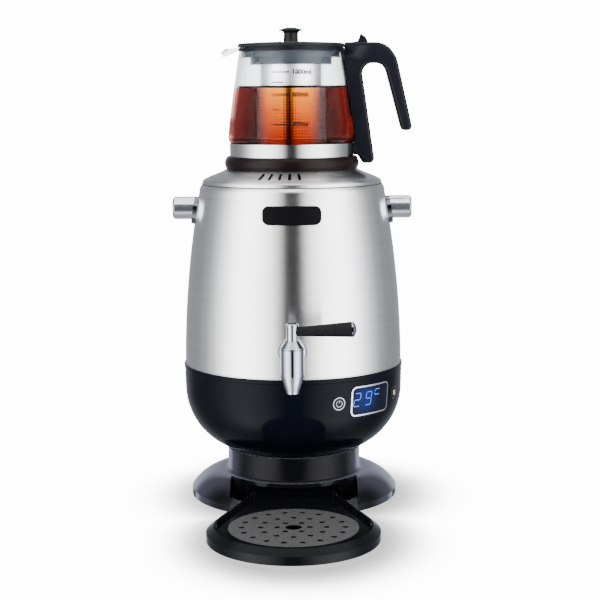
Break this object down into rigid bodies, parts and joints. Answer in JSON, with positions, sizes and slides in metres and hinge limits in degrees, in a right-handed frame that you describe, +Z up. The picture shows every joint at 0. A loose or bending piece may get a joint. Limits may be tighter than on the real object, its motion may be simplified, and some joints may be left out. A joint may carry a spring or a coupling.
{
  "type": "electric samovar",
  "caption": "Electric samovar: steel water boiler on a black pedestal foot with plug tap, drip tray and display, and a glass tea pot with infuser on top.",
  "frame": {"origin": "on the boiler's vertical axis, at the surface that the foot stands on", "axes": "+Z up, -Y towards the user (the tap's side), +X to the user's right (the pot handle's side)"},
  "size_m": [0.2556, 0.3839, 0.5024],
  "materials": {
    "foot_plastic": "glossy black moulded plastic",
    "housing_plastic": "satin black moulded plastic",
    "brushed_steel": "vertical brushed stainless steel",
    "tank_steel": "plain drawn stainless steel",
    "chrome": "polished chrome plate",
    "black_plastic": "satin black plastic",
    "grip_plastic": "smooth black grip plastic",
    "seat_plastic": "dark brown-black heat resistant plastic",
    "smoke_plastic": "smoky translucent plastic",
    "inner_plastic": "plain dark moulding",
    "glass": "clear borosilicate glass",
    "display_glass": "dark display window",
    "silver_plastic": "silver plated plastic",
    "button_face": "glossy black button with a pale icon",
    "mesh_steel": "fine perforated stainless steel",
    "grate_steel": "matt punched stainless steel",
    "silicone": "translucent grey silicone",
    "rubber": "black anti-slip rubber",
    "aluminium": "cast aluminium",
    "board_green": "green circuit board",
    "zinc_steel": "zinc plated steel",
    "brass": "turned brass"
  },
  "bodies": {
    "boiler": {"foot_shell": "foot_plastic", "base_plate": "inner_plastic", "rubber_ring": "rubber", "base_screws": "zinc_steel", "foot_screws": "zinc_steel", "cord_gland": "grip_plastic", "lower_housing": "housing_plastic", "display_bezel": "silver_plastic", "display_window": "display_glass", "display_module": "inner_plastic", "button_rings": "silver_plastic", "control_board": "board_green", "board_screws": "zinc_steel", "outer_shell": "brushed_steel", "water_tank": "tank_steel", "heating_element": "tank_steel", "heater_plate": "aluminium", "tank_studs": "zinc_steel", "stud_nuts": "zinc_steel", "heat_shield": "tank_steel", "shield_screws": "zinc_steel", "thermal_cutouts": "inner_plastic", "temperature_sensor": "tank_steel", "handle_rosettes": "chrome", "left_handle_knob": "chrome", "right_handle_knob": "chrome", "handle_screws": "zinc_steel", "tap_body": "chrome", "tap_escutcheon": "chrome", "tap_spacer": "silicone", "tap_seal": "silicone", "tap_nut": "brass", "tap_bonnet": "chrome"},
    "tank_lid": {"tank_cover": "brushed_steel", "cover_liner": "inner_plastic", "cover_gasket": "silicone", "pot_seat_ring": "seat_plastic"},
    "teapot": {"pot_glass": "glass", "pot_band": "brushed_steel", "rim_collar": "black_plastic", "pot_handle": "black_plastic", "handle_bolt": "zinc_steel", "catch_pin": "zinc_steel"},
    "teapot_lid": {"pot_lid": "black_plastic", "lid_knob": "black_plastic", "knob_screw": "zinc_steel", "lid_collar": "smoke_plastic", "lid_gasket": "silicone"},
    "infuser": {"infuser_basket": "mesh_steel", "infuser_ring": "mesh_steel"},
    "thumb_catch": {"lid_catch": "black_plastic"},
    "tap_handle": {"tap_plug": "chrome", "plug_o_rings": "silicone", "tap_cap": "chrome", "tap_lever": "grip_plastic", "lever_tip": "chrome"},
    "power_key": {"power_button": "button_face"},
    "keep_warm_key": {"keep_warm_button": "button_face"},
    "tray": {"drip_tray": "foot_plastic"},
    "grate": {"drip_grate": "grate_steel"}
  },
  "joints": [
    {"name": "tank_lid_lift", "type": "slide", "parent": "boiler", "child": "tank_lid", "axis": [0, 0, 1], "range_m": [0, 0.1]},
    {"name": "teapot_lift", "type": "slide", "parent": "tank_lid", "child": "teapot", "axis": [0, 0, 1], "range_m": [0, 0.15]},
    {"name": "teapot_lid_lift", "type": "slide", "parent": "teapot", "child": "teapot_lid", "axis": [0, 0, 1], "range_m": [0, 0.12]},
    {"name": "infuser_twist", "type": "hinge", "parent": "teapot_lid", "child": "infuser", "pos_m": [0, 0, 0.47], "axis": [0, 0, 1], "range_deg": [0, 30]},
    {"name": "thumb_catch_tilt", "type": "hinge", "parent": "teapot", "child": "thumb_catch", "pos_m": [0.07, 0, 0.483], "axis": [0, 1, 0], "range_deg": [0, 20], "stiffness_Nm_per_rad": 0.02, "springref_deg": -2.86},
    {"name": "tap_turn", "type": "hinge", "parent": "boiler", "child": "tap_handle", "pos_m": [0, -0.167, 0.175], "axis": [0, 0, 1], "range_deg": [-90, 0]},
    {"name": "power_press", "type": "slide", "parent": "boiler", "child": "power_key", "axis": [-0.4003, 0.9164, 0], "range_m": [0, 0.0012], "stiffness_N_per_m": 300},
    {"name": "keep_warm_press", "type": "slide", "parent": "boiler", "child": "keep_warm_key", "axis": [-0.9056, 0.4242, 0], "range_m": [0, 0.0012], "stiffness_N_per_m": 300},
    {"name": "tray_slide", "type": "slide", "parent": "boiler", "child": "tray", "axis": [0, -1, 0], "range_m": [0, 0.08]},
    {"name": "grate_lift", "type": "slide", "parent": "tray", "child": "grate", "axis": [0, 0, 1], "range_m": [0, 0.06]}
  ]
}
